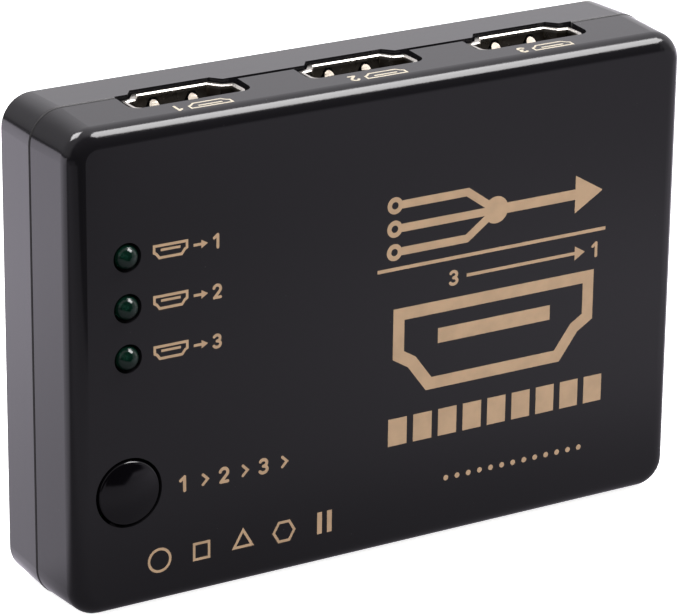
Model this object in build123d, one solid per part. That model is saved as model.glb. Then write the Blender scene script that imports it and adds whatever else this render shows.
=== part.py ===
"""Video switch box: three video inputs on top, one output, power and remote jacks underneath.

Millimetres. The box stands on its long lower side as it is photographed: +X to the right along the face,
+Y from the face to the back, +Z up. The origin is under the middle of the whole, on the surface it stands on.
"""
from build123d import *
from math import atan2, degrees
import os

# Case: two drafted halves that meet at the seam
case_width = 87.0
case_height = 62.0
front_depth = 9.0
rear_depth = 8.0
case_wall = 1.8
corner_radius = 4.2
face_round = 2.2
back_bevel = 0.12
front_lean = 0.45
front_step = 0.1
rear_lean = 0.25
seam_gap = 0.22
seam_bevel = 0.12
lip_reach = 1.4
lip_clearance = 0.08
port_relief = 0.3
overrun = 1.0

# Circuit board, set back behind the seam
board_setback = 1.75
board_thickness = 1.6
board_edge_gap = 1.0
board_corner = 1.5
hole_gap = 0.2

# Corner blocks that clamp the board, and screws from the back through two of them
corner_inset = 5.5
corner_block = 7.0
screw_core = 0.95
screw_head_radius = 1.9
screw_head_height = 1.3
screw_recess = 0.7
screw_drive_width = 0.5
screw_drive_reach = 2.2
screw_drive_depth = 0.7
screw_reach = 6.0
thread_clearance = 0.03

# Video socket: plated shell, insulator with its tongue, two rows of contacts
input_count = 3
socket_pitch_share = 0.27586
socket_width = 15.0
socket_height = 5.55
socket_narrow_width = 10.3
socket_slope_run = 1.05
socket_slope_rise = 1.45
socket_step_rise = 0.3
socket_front_round = 1.2
socket_skin = 0.5
socket_depth = 10.6
socket_recess = 0.5
rim_flare = 0.15
opening_side_gap = 0.65
opening_back_gap = 0.2
opening_front_gap = 0.2
finger_spacing = 5.2
finger_width = 1.3
finger_slot = 0.3
finger_drop = 0.6
finger_length = 4.6
finger_sheet = 0.25
nose_setback = 0.65
nose_sink = 0.45
leg_width = 1.5
leg_overlap = 0.8
leg_drop_front = 4.0
leg_drop_back = 9.0
leg_reach = 0.9
insulator_fit = 0.04
insulator_block = 4.2
tongue_recess = 1.95
tongue_width = 11.6
tongue_thickness = 1.5
tongue_chamfer = 0.3
tail_clearance = 0.4
contact_pitch = 1.0
contact_width = 0.3
contact_thickness = 0.2
contact_proud = 0.05
contact_tip_setback = 0.5
contact_row_gap = 0.8
long_row_count = 10

# Select button and the tact switch behind it
button_inset = 7.85
button_height = 15.95
button_hole_radius = 4.43
button_gap = 0.35
button_crown = 0.75
button_rim_proud = 0.1
button_rim_bevel = 0.3
button_bands = 2
button_tab_reach = 1.0
button_tab_width = 3.0
button_tab_thickness = 0.8
button_play = 0.05
button_stem_radius = 2.0
tact_size = 6.0
tact_height = 5.9
tact_base_height = 3.3
tact_corner = 0.5
tact_pocket = 4.8
tact_pocket_depth = 1.25
tact_cover_thickness = 0.25
tact_cover_lap = 1.0
plunger_radius = 1.75
plunger_clearance = 0.08
plunger_foot = 4.0
dome_radius = 2.2
dome_rise = 0.4
dome_sheet = 0.08
dome_bands = 2
dome_width = 2.4
seat_gap = 0.02
tact_leg_width = 0.7
tact_leg_thickness = 0.3
tact_leg_spacing = 4.5
tact_leg_reach = 0.8

# Status lights
light_inset = 7.9
light_drop = 16.4
light_pitch = 6.3
light_count = 3
light_radius = 1.5
light_hole_radius = 1.82
light_length = 5.3
light_proud = 0.9
light_bands = 2
lead_size = 0.5
lead_spacing = 2.54
lead_reach = 0.8

# Power and remote jacks
jack_place_share = 0.26437
jack_recess = 0.4
jack_nose_length = 2.4
jack_hole_gap = 0.3
jack_bore_radius = 1.8
jack_edge_bevel = 0.3
power_width = 6.4
power_depth = 5.6
power_length = 11.5
power_nose_radius = 2.7
power_bore_length = 9.0
power_pin_radius = 0.65
power_pin_setback = 1.5
power_spring_width = 1.2
power_spring_length = 5.0
remote_width = 6.2
remote_depth = 5.4
remote_length = 13.0
remote_nose_radius = 2.6
remote_bore_length = 12.0
remote_spring_width = 1.0
remote_spring_length = 3.4
remote_spring_pitch = 4.2
remote_spring_count = 2
spring_sheet = 0.3
spring_gap = 0.05
terminal_width = 1.2
terminal_reach = 0.9

# Board components
chip_size = 9.0
chip_height = 1.4
chip_standoff = 0.1
chip_bevel = 0.3
chip_pin_pitch = 0.8
chip_pin_width = 0.3
chip_pin_reach = 1.0
chip_pins_per_side = 9
pin_sheet = 0.15
control_length = 4.9
control_width = 3.9
control_height = 1.5
control_pin_pitch = 1.27
control_pin_width = 0.42
control_pins_per_side = 4
regulator_length = 6.5
regulator_width = 3.5
regulator_height = 1.6
regulator_tab_width = 3.0
regulator_pin_pitch = 2.3
regulator_pin_width = 0.7
regulator_pin_count = 3
can_radius = 2.5
can_height = 5.2
can_base_size = 5.3
can_base_height = 0.8
can_bevel = 0.3
small_length = 1.6
small_width = 0.8
capacitor_height = 0.8
resistor_height = 0.45
small_pitch = 2.0
capacitor_row_gap = 2.2
capacitor_count = 4
resistor_count = 4

# Where the board's components lie, as shares of the board's half width and of its height
chip_place_shares = (0.08, 0.53)
control_place_shares = (-0.42, 0.42)
regulator_place_shares = (0.72, 0.36)
can_place_shares = (0.8, 0.6)
resistor_place_shares = (-0.42, 0.6)

# Levels and places worked out from the sizes above
socket_pitch = socket_pitch_share * case_width
jack_spacing = jack_place_share * case_width
case_depth = front_depth + rear_depth
face_y = (max(button_crown, light_proud) - case_depth) / 2
wall_y = face_y + case_wall
hollow_inset = case_wall + front_step + front_lean
seam_y = face_y + front_depth
back_y = face_y + case_depth
floor_y = back_y - case_wall
board_y = seam_y + board_setback
board_back_y = board_y + board_thickness
board_width = case_width - 2 * (case_wall + board_edge_gap)
board_height = case_height - 2 * (case_wall + board_edge_gap)
board_low_z = (case_height - board_height) / 2
button_x = button_inset - case_width / 2
light_x = light_inset - case_width / 2
button_radius = button_hole_radius - button_gap
tab_y = wall_y + button_play
tab_back_y = tab_y + button_tab_thickness
plunger_top_y = board_y - tact_height
jack_axis = max(power_depth, remote_depth) / 2
corner_places = [
    (sx * (case_width / 2 - corner_inset), case_height / 2 + sz * (case_height / 2 - corner_inset))
    for sx in (-1, 1)
    for sz in (-1, 1)
]
screw_places = [corner_places[1], corner_places[2]]
light_places = [(light_x, case_height - light_drop - i * light_pitch) for i in range(light_count)]
input_places = [(i - (input_count - 1) / 2) * socket_pitch for i in range(input_count)]
leg_drops = (leg_drop_front, leg_drop_back)


# Helpers

def facing(y, x=0, z=0):
    """A sketch plane at depth y that looks out of the face: its own up is +Z and its normal is -Y."""
    return Plane(origin=(x, y, z), x_dir=(1, 0, 0), z_dir=(0, -1, 0))


def rod(x, z, y_near, y_far, radius):
    """A cylinder along Y between two depths."""
    return extrude(facing(y_far, x, z) * Circle(radius), y_far - y_near)


def bar(x, z, y_near, y_far, width, height):
    """A square-cornered bar along Y between two depths."""
    return extrude(facing(y_far, x, z) * Rectangle(width, height), y_far - y_near)


def turned(section, x, z):
    """A solid of revolution about a line along Y, from its half section drawn with x as the radius."""
    half = Plane(origin=(x, 0, z), x_dir=(1, 0, 0), z_dir=(0, 0, 1)) * section
    return revolve(half, Axis((x, 0, z), (0, 1, 0)))


def dome_arc(radius, rim_y, rise, bands):
    """Half of a dome's section as even chords of an arc, from its top on the axis to its rim."""
    arc = TangentArc((0, rim_y - rise), (radius, rim_y), tangent=(1, 0))
    points = [arc @ (i / bands) for i in range(bands + 1)]
    return [Line(a, b) for a, b in zip(points, points[1:])]


def block(low, high):
    """A box between two opposite corners."""
    size = [b - a for a, b in zip(low, high)]
    middle = [(a + b) / 2 for a, b in zip(low, high)]
    return Pos(*middle) * Box(*size)


def from_the_side(x, outline, width):
    """A strip of even width about x whose side view is given as (z, y) corners."""
    face = make_face(Polyline(*outline, close=True))
    return extrude(Plane(origin=(x, 0, 0), x_dir=(0, 0, 1), z_dir=(-1, 0, 0)) * face, width / 2, both=True)


def drafted(y_wide, y_lean, inset, radius, lean):
    """The case's outline, inset all round, drawn from one depth to another with its sides leaning in."""
    outline = RectangleRounded(case_width - 2 * inset, case_height - 2 * inset, radius)
    depth = y_wide - y_lean
    angle = degrees(atan2(lean, abs(depth)))
    return extrude(facing(y_wide, 0, case_height / 2) * outline, depth, taper=angle)


def edges_at(solid, y):
    """The edges of a solid that lie wholly at one depth."""
    near = overrun / 1000
    return solid.edges().filter_by_position(Axis.Y, y - near, y + near)


def outline_at_seam(inset, y_near, y_far):
    """A straight-sided block with the case's outline at the seam, inset all round."""
    middle = case_height / 2
    shape = RectangleRounded(case_width - 2 * inset, case_height - 2 * inset, corner_radius - inset)
    return extrude(facing(y_far, 0, middle) * shape, y_far - y_near)


def from_mouth(solid, x, on_top, recess):
    """Carries a socket or jack, drawn with its mouth at zero and facing +Z, to its side of the case."""
    if on_top:
        return Pos(x, board_y, case_height - recess) * solid
    return Pos(x, board_y, recess) * Rot(0, 180, 0) * solid


def at_every_socket(solid):
    """The same solid at the three inputs on top and at the output underneath."""
    on_top = [from_mouth(solid, x, True, socket_recess) for x in input_places]
    return on_top + [from_mouth(solid, 0, False, socket_recess)]


# Outline of the video socket

def socket_face(side=0, back=0, front=0):
    """The socket's D outline on XY, its narrow side against the board at y = 0, grown by its gaps."""
    half_wide = socket_width / 2 + side
    half_narrow = socket_narrow_width / 2 + back
    slope_y = back - socket_slope_rise
    step_y = slope_y - socket_step_rise
    front_y = -(socket_height + front)
    half = [
        (half_narrow, back),
        (half_narrow + socket_slope_run, slope_y),
        (half_wide, step_y),
        (half_wide, front_y),
    ]
    other = [(-x, y) for x, y in reversed(half)]
    face = make_face(Polyline(*half, *other, close=True))
    return fillet(face.vertices().sort_by(Axis.Y)[:2], socket_front_round + front)


def socket_hole(level_low, level_high):
    """The hole that both halves of the case leave round a video socket."""
    shape = socket_face(opening_side_gap, opening_back_gap, opening_front_gap)
    return extrude(Pos(0, 0, level_low) * shape, level_high - level_low)


def socket_holes():
    """All four socket holes, from outside the case to well inside its wall."""
    return at_every_socket(socket_hole(-3 * case_wall, socket_recess + overrun))


def jack_holes():
    """The round holes for the power and remote jacks."""
    holes = []
    for x, radius in ((jack_spacing, power_nose_radius), (-jack_spacing, remote_nose_radius)):
        hole = Pos(0, -jack_axis, -jack_nose_length) * Cylinder(
            radius + jack_hole_gap,
            jack_nose_length + jack_recess + overrun,
            align=(Align.CENTER, Align.CENTER, Align.MIN),
        )
        holes.append(from_mouth(hole, x, False, jack_recess))
    return holes


# Case

def corner_blocks(y_near, y_far):
    """Square blocks that stand in the corners of the hollow between two depths."""
    room = outline_at_seam(hollow_inset, y_near, y_far)
    return [room & bar(x, z, y_near, y_far, corner_block, corner_block) for x, z in corner_places]


def front_shell():
    """Front half: a drafted tray with a rounded face, corner blocks and holes for the lights and the button."""
    outer = drafted(seam_y, face_y, front_step, corner_radius - front_step, front_lean)
    outer = fillet(edges_at(outer, face_y), face_round)
    shell = outer - outline_at_seam(hollow_inset, wall_y, seam_y)
    shell -= outline_at_seam(case_wall / 2, seam_y - lip_reach - lip_clearance, seam_y)
    shell += corner_blocks(face_y + case_wall / 2, board_y)
    shell -= rod(button_x, button_height, face_y - overrun, wall_y + overrun, button_hole_radius)
    for x, z in light_places:
        shell -= rod(x, z, face_y - overrun, wall_y + overrun, light_hole_radius)
    for x, z in screw_places:
        shell -= rod(x, z, board_y - screw_reach - overrun, board_y + overrun, screw_core + thread_clearance)
    for hole in socket_holes() + jack_holes():
        shell -= hole
    return shell


def port_gap():
    """Where the back half's edge is cut back, lip and all, to clear the rows of sockets and jacks."""
    half = socket_pitch + socket_width / 2 + opening_side_gap
    near, far = seam_y - lip_reach - overrun, seam_y + seam_gap + port_relief
    return block((-half, near, -overrun), (half, far, case_height + overrun))


def rear_shell():
    """Back half: a drafted tray, a step wider than the front half all round, with a lip that enters the front
    half and blocks that press the board from behind."""
    start_y = seam_y + seam_gap
    outer = drafted(start_y, back_y, 0, corner_radius, rear_lean)
    outer = chamfer(edges_at(outer, back_y), back_bevel)
    outer = chamfer(edges_at(outer, start_y), seam_bevel)
    shell = outer + outline_at_seam(case_wall / 2 + lip_clearance, seam_y - lip_reach, start_y + case_wall)
    shell -= outline_at_seam(hollow_inset, seam_y - lip_reach, floor_y)
    shell -= port_gap()
    shell += corner_blocks(board_back_y, back_y - case_wall / 2)
    seat_y = back_y - screw_recess - screw_head_height
    for x, z in screw_places:
        shell -= rod(x, z, board_back_y - overrun, back_y, screw_core + hole_gap)
        shell -= rod(x, z, seat_y, back_y + overrun, screw_head_radius + hole_gap)
    for hole in socket_holes() + jack_holes():
        shell -= hole
    return shell


def case_screw():
    """One screw along +Y from its tip to its head, with a cross recess in the head and no thread."""
    seat_y = back_y - screw_recess - screw_head_height
    head_y = seat_y + screw_head_height
    screw = rod(0, 0, board_y - screw_reach, seat_y, screw_core)
    screw += rod(0, 0, seat_y, head_y, screw_head_radius)
    for width, height in ((screw_drive_width, screw_drive_reach), (screw_drive_reach, screw_drive_width)):
        screw -= bar(0, 0, head_y - screw_drive_depth, head_y + overrun, width, height)
    return screw


def case_screws():
    """Two screws in opposite corners."""
    screw = case_screw()
    return [Pos(x, 0, z) * screw for x, z in screw_places]


# Circuit board

def circuit_board():
    """The board with its holes: screws, socket legs, switch legs, light leads and jack terminals."""
    middle = case_height / 2
    outline = RectangleRounded(board_width, board_height, board_corner)
    board = extrude(facing(board_back_y, 0, middle) * outline, board_thickness)
    near, far = board_y - overrun, board_back_y + overrun
    holes = [rod(x, z, near, far, screw_core + hole_gap) for x, z in screw_places]
    for x, drop in [(x, drop) for x in input_places for drop in leg_drops]:
        holes += leg_slots(x, case_height - socket_recess - drop)
    for drop in leg_drops:
        holes += leg_slots(0, socket_recess + drop)
    holes += flat_slots(lead_places(), lead_size, lead_size)
    holes += flat_slots(tact_leg_places(), tact_leg_width, tact_leg_thickness)
    holes += flat_slots(terminal_places(), terminal_width, spring_sheet)
    return board - holes


def flat_slots(places, width, thickness):
    """Board slots for flat legs that stand across the board's width."""
    gap = 2 * hole_gap
    near, far = board_y - overrun, board_back_y + overrun
    return [bar(x, z, near, far, width + gap, thickness + gap) for x, z in places]


def leg_slots(x, z):
    """The two board slots for a pair of socket legs."""
    width = socket_skin + 2 * hole_gap
    height = leg_width + 2 * hole_gap
    leg_x = socket_width / 2 - socket_skin / 2
    near, far = board_y - overrun, board_back_y + overrun
    return [bar(x + side * leg_x, z, near, far, width, height) for side in (-1, 1)]


# Video sockets, drawn with the mouth's rim at z = 0 facing +Z and the board's face at y = 0

def socket_shell():
    """The plated shell: a D-section tube with a flared mouth, two spring fingers and four board legs."""
    length = socket_depth - tail_clearance
    tube = extrude(Pos(0, 0, -length) * socket_face(), length)
    bore = extrude(Pos(0, 0, -length - overrun) * socket_face(-socket_skin, -socket_skin, -socket_skin),
                   length + 2 * overrun)
    shell = tube - bore
    mouth = shell.faces().sort_by(Axis.Z)[-1]
    shell = chamfer(mouth.inner_wires()[0].edges(), rim_flare)
    for side in (-1, 1):
        shell -= finger_window(side * finger_spacing / 2)
        shell += finger(side * finger_spacing / 2)
    leg_x = socket_width / 2 - socket_skin / 2
    top_y = -(socket_slope_rise + socket_step_rise + leg_overlap)
    for side in (-1, 1):
        for drop in leg_drops:
            low = (side * leg_x - socket_skin / 2, top_y, -drop - leg_width / 2)
            high = (side * leg_x + socket_skin / 2, board_thickness + leg_reach, -drop + leg_width / 2)
            shell += block(low, high)
    return shell


def finger_window(x):
    """The slot round a spring finger, cut through the narrow side, its corners at the mouth's end cut off."""
    half = finger_width / 2 + finger_slot
    root_z = -finger_drop - finger_length
    outline = [
        (x - half, root_z),
        (x - half, -finger_drop - half),
        (x - finger_width / 3, -finger_drop),
        (x + finger_width / 3, -finger_drop),
        (x + half, -finger_drop - half),
        (x + half, root_z),
    ]
    return through_the_back(make_face(Polyline(*outline, close=True)))


def through_the_back(plan):
    """A plan drawn on (x, z), carried along Y through the shell's narrow side."""
    plane = Plane(origin=(0, overrun, 0), x_dir=(1, 0, 0), z_dir=(0, -1, 0))
    return extrude(plane * plan, socket_skin + 2 * overrun)


def finger(x):
    """A spring finger: a strip with a rounded tip that dips into the socket, bent to a nose near its end."""
    root_z = -finger_drop - finger_length
    tip_z = -finger_drop - finger_slot
    nose_z = tip_z - nose_setback
    inner, outer = -socket_skin, -socket_skin + finger_sheet
    side_view = [
        (root_z - finger_slot, inner),
        (root_z - finger_slot, outer),
        (nose_z - nose_setback, outer),
        (nose_z, outer - nose_sink),
        (tip_z, outer),
        (tip_z, inner),
        (nose_z, inner - nose_sink),
        (nose_z - nose_setback, inner),
    ]
    half = finger_width / 2
    plan = Pos(x, tip_z - half) * Circle(half)
    plan += Pos(x, tip_z - half - finger_length / 2) * Rectangle(finger_width, finger_length)
    return from_the_side(x, side_view, finger_width) & through_the_back(plan)


def contact(x, lane_y, back_z):
    """One contact: a strip along the tongue and through the insulator, then down its back to the board."""
    tip_z = -tongue_recess - contact_tip_setback
    side_view = [
        (tip_z, lane_y),
        (back_z - contact_thickness, lane_y),
        (back_z - contact_thickness, 0),
        (back_z, 0),
        (back_z, lane_y + contact_thickness),
        (tip_z, lane_y + contact_thickness),
    ]
    return from_the_side(x, side_view, contact_width)


def contact_lanes():
    """The depths of the long row on the tongue's front face and of the short one on its back."""
    middle = -socket_height / 2
    front_lane = middle - tongue_thickness / 2 - contact_proud
    back_lane = middle + tongue_thickness / 2 + contact_proud - contact_thickness
    return front_lane, back_lane


def contacts():
    """Both rows of contacts, the short one standing between the places of the long one."""
    front_lane, back_lane = contact_lanes()
    first = -contact_pitch * (long_row_count - 1) / 2
    outer_z = -socket_depth - contact_row_gap
    long_row = [contact(first + i * contact_pitch, front_lane, outer_z) for i in range(long_row_count)]
    short_row = [
        contact(first + (i + 1 / 2) * contact_pitch, back_lane, -socket_depth)
        for i in range(long_row_count - 1)
    ]
    return long_row + short_row


def contact_slots():
    """The slots that both rows lie in, along the tongue's faces and on through the block."""
    width = contact_pitch * long_row_count
    return [
        block(
            (-width / 2, lane_y, -socket_depth - overrun),
            (width / 2, lane_y + contact_thickness, -tongue_recess - contact_tip_setback),
        )
        for lane_y in contact_lanes()
    ]


def socket_insulator():
    """The moulded block that closes the back of the shell, with the tongue and the slots for the contacts."""
    gap = -socket_skin - insulator_fit
    front_z = insulator_block - socket_depth
    body = extrude(Pos(0, 0, -socket_depth) * socket_face(gap, gap, gap), insulator_block)
    middle = -socket_height / 2
    half = tongue_thickness / 2
    tongue = block(
        (-tongue_width / 2, middle - half, front_z - overrun),
        (tongue_width / 2, middle + half, -tongue_recess),
    )
    tip_edges = tongue.edges().filter_by(Axis.X).group_by(Axis.Z)[-1]
    return body + chamfer(tip_edges, tongue_chamfer) - contact_slots()


# Select button and tact switch

def select_button():
    """The button: a domed cap in the case's hole, two tabs behind the wall and a stem to the tact switch."""
    edge_y = face_y - button_rim_proud
    crown_y = face_y - button_crown
    rest = Polyline((button_radius, edge_y), (button_radius, tab_back_y), (0, tab_back_y), (0, crown_y))
    section = make_face([*dome_arc(button_radius, edge_y, edge_y - crown_y, button_bands), rest])
    rim = section.vertices().sort_by_distance((button_radius, edge_y))[0]
    cap = turned(chamfer(rim, button_rim_bevel), button_x, button_height)
    reach = 2 * (button_radius + button_tab_reach)
    tabs = bar(button_x, button_height, tab_y, tab_back_y, button_tab_width, reach)
    return cap + tabs + rod(button_x, button_height, tab_y, plunger_top_y, button_stem_radius)


def tact_switch_base():
    """The switch's moulded base with the pocket that holds the dome and the plunger's foot."""
    top_y = board_y - tact_base_height
    base = bar(button_x, button_height, top_y, board_y, tact_size, tact_size)
    base = chamfer(base.edges().filter_by(Axis.Y), tact_corner)
    return base - bar(button_x, button_height, top_y - overrun, top_y + tact_pocket_depth, tact_pocket,
                      tact_pocket)


def tact_switch_cover():
    """The sheet cover over the base, folded down two of its sides."""
    top_y = board_y - tact_base_height
    outer_y = top_y - tact_cover_thickness
    span = tact_size - 2 * tact_corner
    cover = bar(button_x, button_height, outer_y, top_y, tact_size + 2 * tact_cover_thickness, span)
    for side in (-1, 1):
        edge = button_x + side * tact_size / 2
        outer = edge + side * tact_cover_thickness
        cover += block((min(edge, outer), outer_y, button_height - span / 2),
                       (max(edge, outer), top_y + tact_cover_lap, button_height + span / 2))
    return cover - rod(button_x, button_height, outer_y - overrun, top_y + overrun,
                       plunger_radius + plunger_clearance)


def tact_switch_dome():
    """The snap dome: an arched strip of thin sheet that stands on its two ends in the pocket."""
    rim_y = board_y - tact_base_height + tact_pocket_depth
    inner = dome_arc(dome_radius - dome_sheet, rim_y, dome_rise - dome_sheet, dome_bands)
    outer = dome_arc(dome_radius, rim_y, dome_rise, dome_bands)
    end = Line((dome_radius - dome_sheet, rim_y), (dome_radius, rim_y))
    middle = Line((0, rim_y - dome_rise), (0, rim_y - dome_rise + dome_sheet))
    half = make_face([*inner, end, *outer, middle])
    plane = Plane(origin=(button_x, 0, button_height), x_dir=(1, 0, 0), z_dir=(0, 0, 1))
    return extrude(plane * (half + mirror(half, about=Plane.YZ)), dome_width / 2, both=True)


def tact_switch_plunger():
    """The plunger: a shaft that meets the button's stem and a square foot between the cover and the dome."""
    cover_y = board_y - tact_base_height
    dome_top_y = cover_y + tact_pocket_depth - dome_rise
    shaft = rod(button_x, button_height, plunger_top_y, cover_y + seat_gap, plunger_radius)
    return shaft + bar(button_x, button_height, cover_y + seat_gap, dome_top_y, plunger_foot, plunger_foot)


def tact_leg_places():
    """The centres of the switch's four legs, as (x, z)."""
    across = tact_size / 2 + tact_cover_thickness + tact_leg_thickness / 2
    return [
        (button_x + sx * tact_leg_spacing / 2, button_height + sz * across)
        for sx in (-1, 1)
        for sz in (-1, 1)
    ]


def tact_switch_legs():
    """Four flat legs from the base's two plain sides, down through the board."""
    legs = []
    for x, z in tact_leg_places():
        side = 1 if z > button_height else -1
        base_z = button_height + side * tact_size / 2
        outer_z = z + side * tact_leg_thickness / 2
        inner_z = z - side * tact_leg_thickness / 2
        root_y = board_y - tact_base_height / 2
        half = tact_leg_width / 2
        leg = block((x - half, root_y, min(inner_z, outer_z)),
                    (x + half, board_back_y + tact_leg_reach, max(inner_z, outer_z)))
        leg += block((x - half, root_y, min(base_z, outer_z)),
                     (x + half, root_y + tact_leg_thickness, max(base_z, outer_z)))
        legs.append(leg)
    return legs


# Status lights

def status_light(x, z):
    """A 3 mm light: a round-nosed body whose nose stands just proud of the face."""
    tip_y = face_y - light_proud
    base_y = tip_y + light_length
    centre_y = tip_y + light_radius
    nose = dome_arc(light_radius, centre_y, light_radius, light_bands)
    rest = Polyline((light_radius, centre_y), (light_radius, base_y), (0, base_y), (0, tip_y))
    return turned(make_face([*nose, rest]), x, z)


def lead_places():
    """The centres of the lights' leads, as (x, z)."""
    return [(x + side * lead_spacing / 2, z) for x, z in light_places for side in (-1, 1)]


def status_light_leads():
    """Square leads from each light's base down through the board."""
    base_y = face_y - light_proud + light_length
    return [bar(x, z, base_y, board_back_y + lead_reach, lead_size, lead_size) for x, z in lead_places()]


# Jacks, drawn as the sockets are: mouth at z = 0 facing +Z, the board's face at y = 0

def jack_body(width, depth, length, nose_radius, bore_length):
    """A jack's housing: a block on the board, a round nose through the case and a blind bore."""
    low = (-width / 2, -jack_axis - depth / 2, -length)
    high = (width / 2, 0, -jack_nose_length)
    housing = block(low, high)
    housing = chamfer(housing.edges().filter_by(Axis.Z).group_by(Axis.Y)[0], jack_edge_bevel)
    nose = Pos(0, -jack_axis, -jack_nose_length - overrun) * Cylinder(
        nose_radius, jack_nose_length + overrun, align=(Align.CENTER, Align.CENTER, Align.MIN))
    body = housing + nose
    mouth = Pos(0, -jack_axis, -bore_length) * Cylinder(
        jack_bore_radius, bore_length + overrun, align=(Align.CENTER, Align.CENTER, Align.MIN))
    return body - mouth


def power_jack_pieces():
    """The power inlet: housing, centre pin, and its spring and terminals."""
    body = jack_body(power_width, power_depth, power_length, power_nose_radius, power_bore_length)
    pin = Pos(0, -jack_axis, -power_bore_length) * Cylinder(
        power_pin_radius,
        power_bore_length - power_pin_setback,
        align=(Align.CENTER, Align.CENTER, Align.MIN),
    )
    spring = side_spring(power_spring_width, -power_bore_length, power_spring_length)
    tabs = [terminal(x, z) for x, z in power_tabs()]
    cavity = side_slot(power_spring_width, -power_bore_length, power_spring_length)
    return body - cavity, pin, [spring] + tabs


def side_spring(width, low_z, length):
    """A contact spring: a flat strip that lies in a slot just outside the bore."""
    near_x = jack_bore_radius + spring_gap
    return block((near_x, -jack_axis - width / 2, low_z), (near_x + spring_sheet, -jack_axis + width / 2,
                                                           low_z + length))


def side_slot(width, low_z, length):
    """The slot in the bore's wall for a contact spring."""
    far_x = jack_bore_radius + spring_gap + spring_sheet
    return block((0, -jack_axis - width / 2, low_z), (far_x, -jack_axis + width / 2, low_z + length))


def terminal(x, z):
    """A flat terminal from under a jack down through the board."""
    half = terminal_width / 2
    return block((x - half, 0, z - spring_sheet / 2), (x + half, board_thickness + terminal_reach,
                                                       z + spring_sheet / 2))


def power_tabs():
    """The terminals' places under the power jack."""
    back_z = -power_length + terminal_width
    middle_z = back_z + power_length / 2
    return [(0, back_z), (-power_width / 4, middle_z), (power_width / 4, middle_z)]


def remote_tabs():
    """The terminals' places under the remote jack."""
    back_z = -remote_length + terminal_width
    return [(side * remote_width / 4, back_z + i * remote_length / 3) for i in range(2) for side in (-1, 1)]


def remote_jack_pieces():
    """The remote's jack: housing, and its springs and terminals."""
    body = jack_body(remote_width, remote_depth, remote_length, remote_nose_radius, remote_bore_length)
    first_z = -remote_bore_length
    levels = [first_z + i * remote_spring_pitch for i in range(remote_spring_count)]
    springs = [side_spring(remote_spring_width, z, remote_spring_length) for z in levels]
    for z in levels:
        body -= side_slot(remote_spring_width, z, remote_spring_length)
    return body, springs + [terminal(x, z) for x, z in remote_tabs()]


def terminal_places():
    """The centres of both jacks' terminals on the board, as (x, z)."""
    power = [(jack_spacing - x, jack_recess - z) for x, z in power_tabs()]
    remote = [(-jack_spacing - x, jack_recess - z) for x, z in remote_tabs()]
    return power + remote


# Board components

def board_place(shares):
    """A place on the board, as (x, z), from shares of its half width and of its height."""
    across, up = shares
    return across * board_width / 2, board_low_z + up * board_height


def package(x, z, width, height, thickness):
    """A moulded chip body with a bevelled top, just off the board."""
    low_y = board_y - chip_standoff
    top_y = low_y - thickness
    body = bar(x, z, top_y, low_y, width, height)
    return chamfer(edges_at(body, top_y), chip_bevel)


def slant_pin(width, root_reach, thickness):
    """One pin in its own frame: out along +x from the package's side and slanting down to the board."""
    half_height = thickness / 2
    side_view = [
        (0, -half_height),
        (root_reach, -pin_sheet),
        (root_reach, 0),
        (0, -half_height + pin_sheet),
    ]
    return extrude(Plane.XY * make_face(Polyline(*side_view, close=True)), width / 2, both=True)


def pin_row(pin, x, z, half_span, turn, count, pitch):
    """A row of pins along one side of a package, turned to face out of it."""
    row = []
    for i in range(count):
        along = (i - (count - 1) / 2) * pitch
        row.append(Pos(x, board_y, z) * Rot(0, turn, 0) * Pos(half_span, 0, along) * pin)
    return row


def video_switch_chip():
    """The large square chip that routes the chosen input."""
    x, z = board_place(chip_place_shares)
    return package(x, z, chip_size, chip_size, chip_height)


def video_switch_chip_leads():
    """Pins on all four sides of the large chip."""
    x, z = board_place(chip_place_shares)
    pin = slant_pin(chip_pin_width, chip_pin_reach, chip_height)
    leads = []
    for turn in (0, 90, 180, 270):
        leads += pin_row(pin, x, z, chip_size / 2, turn, chip_pins_per_side, chip_pin_pitch)
    return leads


def control_chip():
    """The small chip that reads the button and drives the lights."""
    x, z = board_place(control_place_shares)
    return package(x, z, control_width, control_length, control_height)


def control_chip_leads():
    """Pins on the two long sides of the small chip."""
    x, z = board_place(control_place_shares)
    pin = slant_pin(control_pin_width, chip_pin_reach, control_height)
    leads = []
    for turn in (0, 180):
        leads += pin_row(pin, x, z, control_width / 2, turn, control_pins_per_side, control_pin_pitch)
    return leads


def voltage_regulator():
    """The regulator beside the power inlet."""
    x, z = board_place(regulator_place_shares)
    return package(x, z, regulator_width, regulator_length, regulator_height)


def voltage_regulator_leads():
    """Three pins on one side of the regulator and its wide tab on the other."""
    x, z = board_place(regulator_place_shares)
    pin = slant_pin(regulator_pin_width, chip_pin_reach, regulator_height)
    tab = slant_pin(regulator_tab_width, chip_pin_reach, regulator_height)
    half = regulator_width / 2
    leads = pin_row(pin, x, z, half, 0, regulator_pin_count, regulator_pin_pitch)
    return leads + pin_row(tab, x, z, half, 180, 1, regulator_pin_pitch)


def bulk_capacitor_base():
    """The capacitor's square foot, two of its corners cut off."""
    x, z = board_place(can_place_shares)
    base = bar(x, z, board_y - can_base_height, board_y, can_base_size, can_base_size)
    return chamfer(base.edges().filter_by(Axis.Y).group_by(Axis.Z)[-1], can_base_size / 5)


def bulk_capacitor_can():
    """The aluminium can with its bevelled top."""
    x, z = board_place(can_place_shares)
    low_y = board_y - can_base_height
    top_y = low_y - can_height
    can = rod(x, z, top_y, low_y, can_radius)
    return chamfer(edges_at(can, top_y), can_bevel)


def small_parts(places, height, upright=True):
    """Small square-ended components that lie on the board."""
    width, length = (small_width, small_length) if upright else (small_length, small_width)
    return [bar(x, z, board_y - height, board_y, width, length) for x, z in places]


def socket_row(x, z, count):
    """Evenly spaced places in a row about x."""
    return [(x + (i - (count - 1) / 2) * small_pitch, z) for i in range(count)]


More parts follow.
